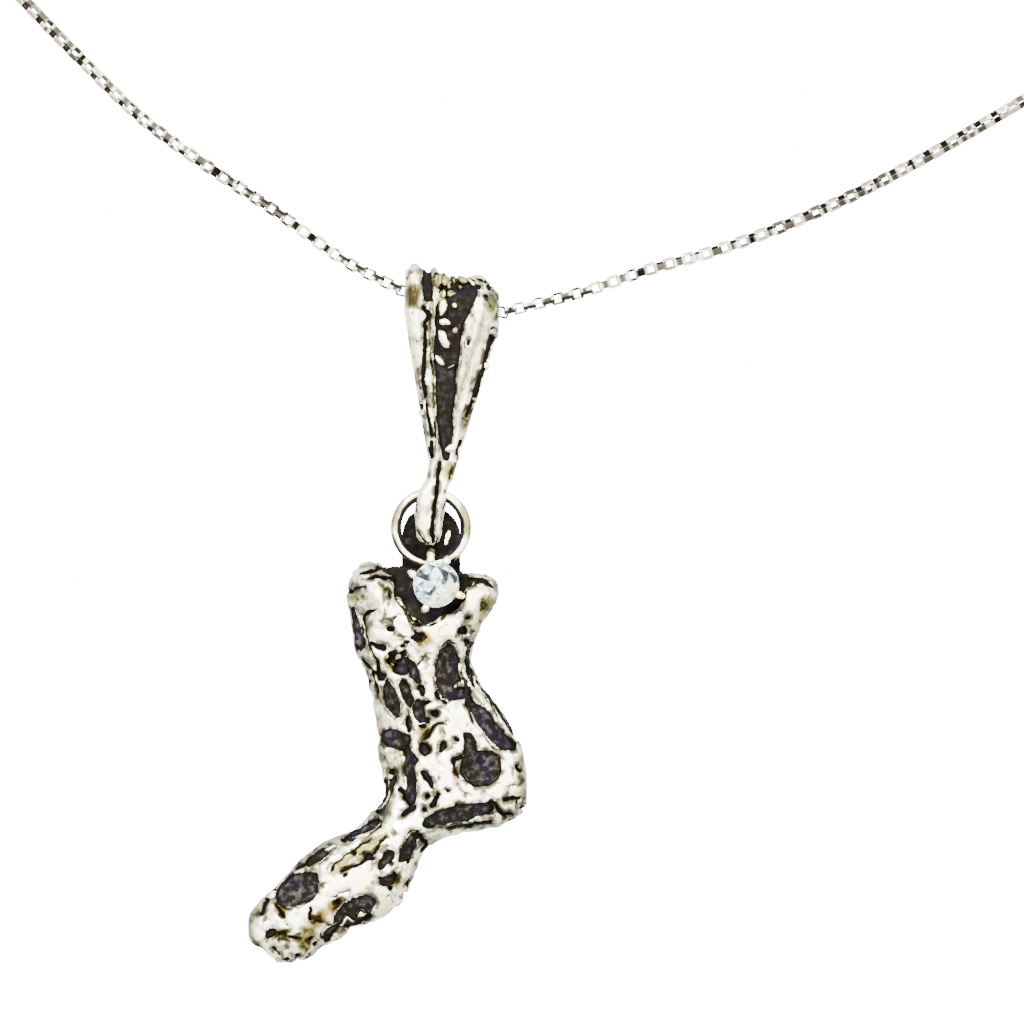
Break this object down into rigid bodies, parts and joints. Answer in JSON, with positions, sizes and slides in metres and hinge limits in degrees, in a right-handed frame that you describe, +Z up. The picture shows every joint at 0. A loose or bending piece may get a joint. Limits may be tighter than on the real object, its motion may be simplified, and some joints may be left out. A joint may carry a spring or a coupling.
{
  "type": "pendant on a chain",
  "caption": "Cast leg-shaped pendant with a web of raised ridges, a round pale blue stone, a jump ring, a tapered ridged bail and a fine box chain with a spring-ring clasp.",
  "frame": {"origin": "middle of the chain inside the bail's tunnel, where the pendant hangs", "axes": "+Z up, +X to the wearer's left as seen from the front, -Y the front of the pendant"},
  "size_m": [0.0763, 0.0051, 0.0703],
  "materials": {
    "cast_silver": "polished cast silver with black patina in its hollows",
    "ring_silver": "polished silver wire",
    "chain_silver": "polished silver chain",
    "spring_steel": "spring wire",
    "pale_blue_stone": "faceted pale blue stone"
  },
  "bodies": {
    "seat": {"seat_link_01": "chain_silver", "seat_link_02": "chain_silver", "seat_link_03": "chain_silver", "seat_link_04": "chain_silver", "seat_link_05": "chain_silver", "seat_link_06": "chain_silver", "seat_link_07": "chain_silver", "seat_link_08": "chain_silver", "seat_link_09": "chain_silver", "seat_link_10": "chain_silver", "seat_link_11": "chain_silver", "seat_link_12": "chain_silver", "seat_link_13": "chain_silver"},
    "bail_body": {"bail": "cast_silver"},
    "ring_body": {"jump_ring": "ring_silver"},
    "leg_body": {"leg_casting": "cast_silver", "staple": "ring_silver", "stone_seat": "ring_silver", "prong_1": "ring_silver", "prong_2": "ring_silver", "prong_3": "ring_silver", "prong_4": "ring_silver", "stone": "pale_blue_stone"},
    "left_chain_1": {"left_run_1": "chain_silver"},
    "left_chain_2": {"left_run_2": "chain_silver"},
    "left_chain_3": {"left_run_3": "chain_silver", "left_end_ring": "chain_silver", "clasp_body": "chain_silver", "clasp_spring": "spring_steel"},
    "bolt_body": {"clasp_bolt": "chain_silver"},
    "right_chain_1": {"right_run_1": "chain_silver"},
    "right_chain_2": {"right_run_2": "chain_silver"},
    "right_chain_3": {"right_run_3": "chain_silver", "right_end_ring": "chain_silver"}
  },
  "joints": [
    {"name": "bail_swing", "type": "hinge", "parent": "seat", "child": "bail_body", "pos_m": [0, 0, 0], "axis": [0.9774, 0, -0.2113], "range_deg": [-70, 70]},
    {"name": "ring_swing", "type": "hinge", "parent": "bail_body", "child": "ring_body", "pos_m": [-0.0014, 0, -0.01245], "axis": [1, 0, 0], "range_deg": [-15, 60]},
    {"name": "leg_turn", "type": "hinge", "parent": "ring_body", "child": "leg_body", "pos_m": [-0.0014, 0, -0.01472], "axis": [0, 1, 0], "range_deg": [-20, 20]},
    {"name": "left_bend_1", "type": "hinge", "parent": "seat", "child": "left_chain_1", "pos_m": [-0.00347, 0, 0.00082], "axis": [0, 1, 0], "range_deg": [0, 10]},
    {"name": "left_bend_2", "type": "hinge", "parent": "left_chain_1", "child": "left_chain_2", "pos_m": [-0.01251, 0, 0.00653], "axis": [0, 1, 0], "range_deg": [0, 10]},
    {"name": "left_bend_3", "type": "hinge", "parent": "left_chain_2", "child": "left_chain_3", "pos_m": [-0.02117, 0, 0.0128], "axis": [0, 1, 0], "range_deg": [0, 10]},
    {"name": "right_bend_1", "type": "hinge", "parent": "seat", "child": "right_chain_1", "pos_m": [0.00349, 0, -0.00063], "axis": [0, -1, 0], "range_deg": [0, 10]},
    {"name": "right_bend_2", "type": "hinge", "parent": "right_chain_1", "child": "right_chain_2", "pos_m": [0.01561, 0, 0.00286], "axis": [0, -1, 0], "range_deg": [0, 10]},
    {"name": "right_bend_3", "type": "hinge", "parent": "right_chain_2", "child": "right_chain_3", "pos_m": [0.0273, 0, 0.00754], "axis": [0, -1, 0], "range_deg": [0, 10]},
    {"name": "clasp_bolt_slide", "type": "hinge", "parent": "left_chain_3", "child": "bolt_body", "pos_m": [-0.03286, 0, 0.02487], "axis": [0.4821, -0.7478, 0.4565], "range_deg": [0, 36], "stiffness_Nm_per_rad": 0.000002, "springref_deg": -34.38}
  ]
}
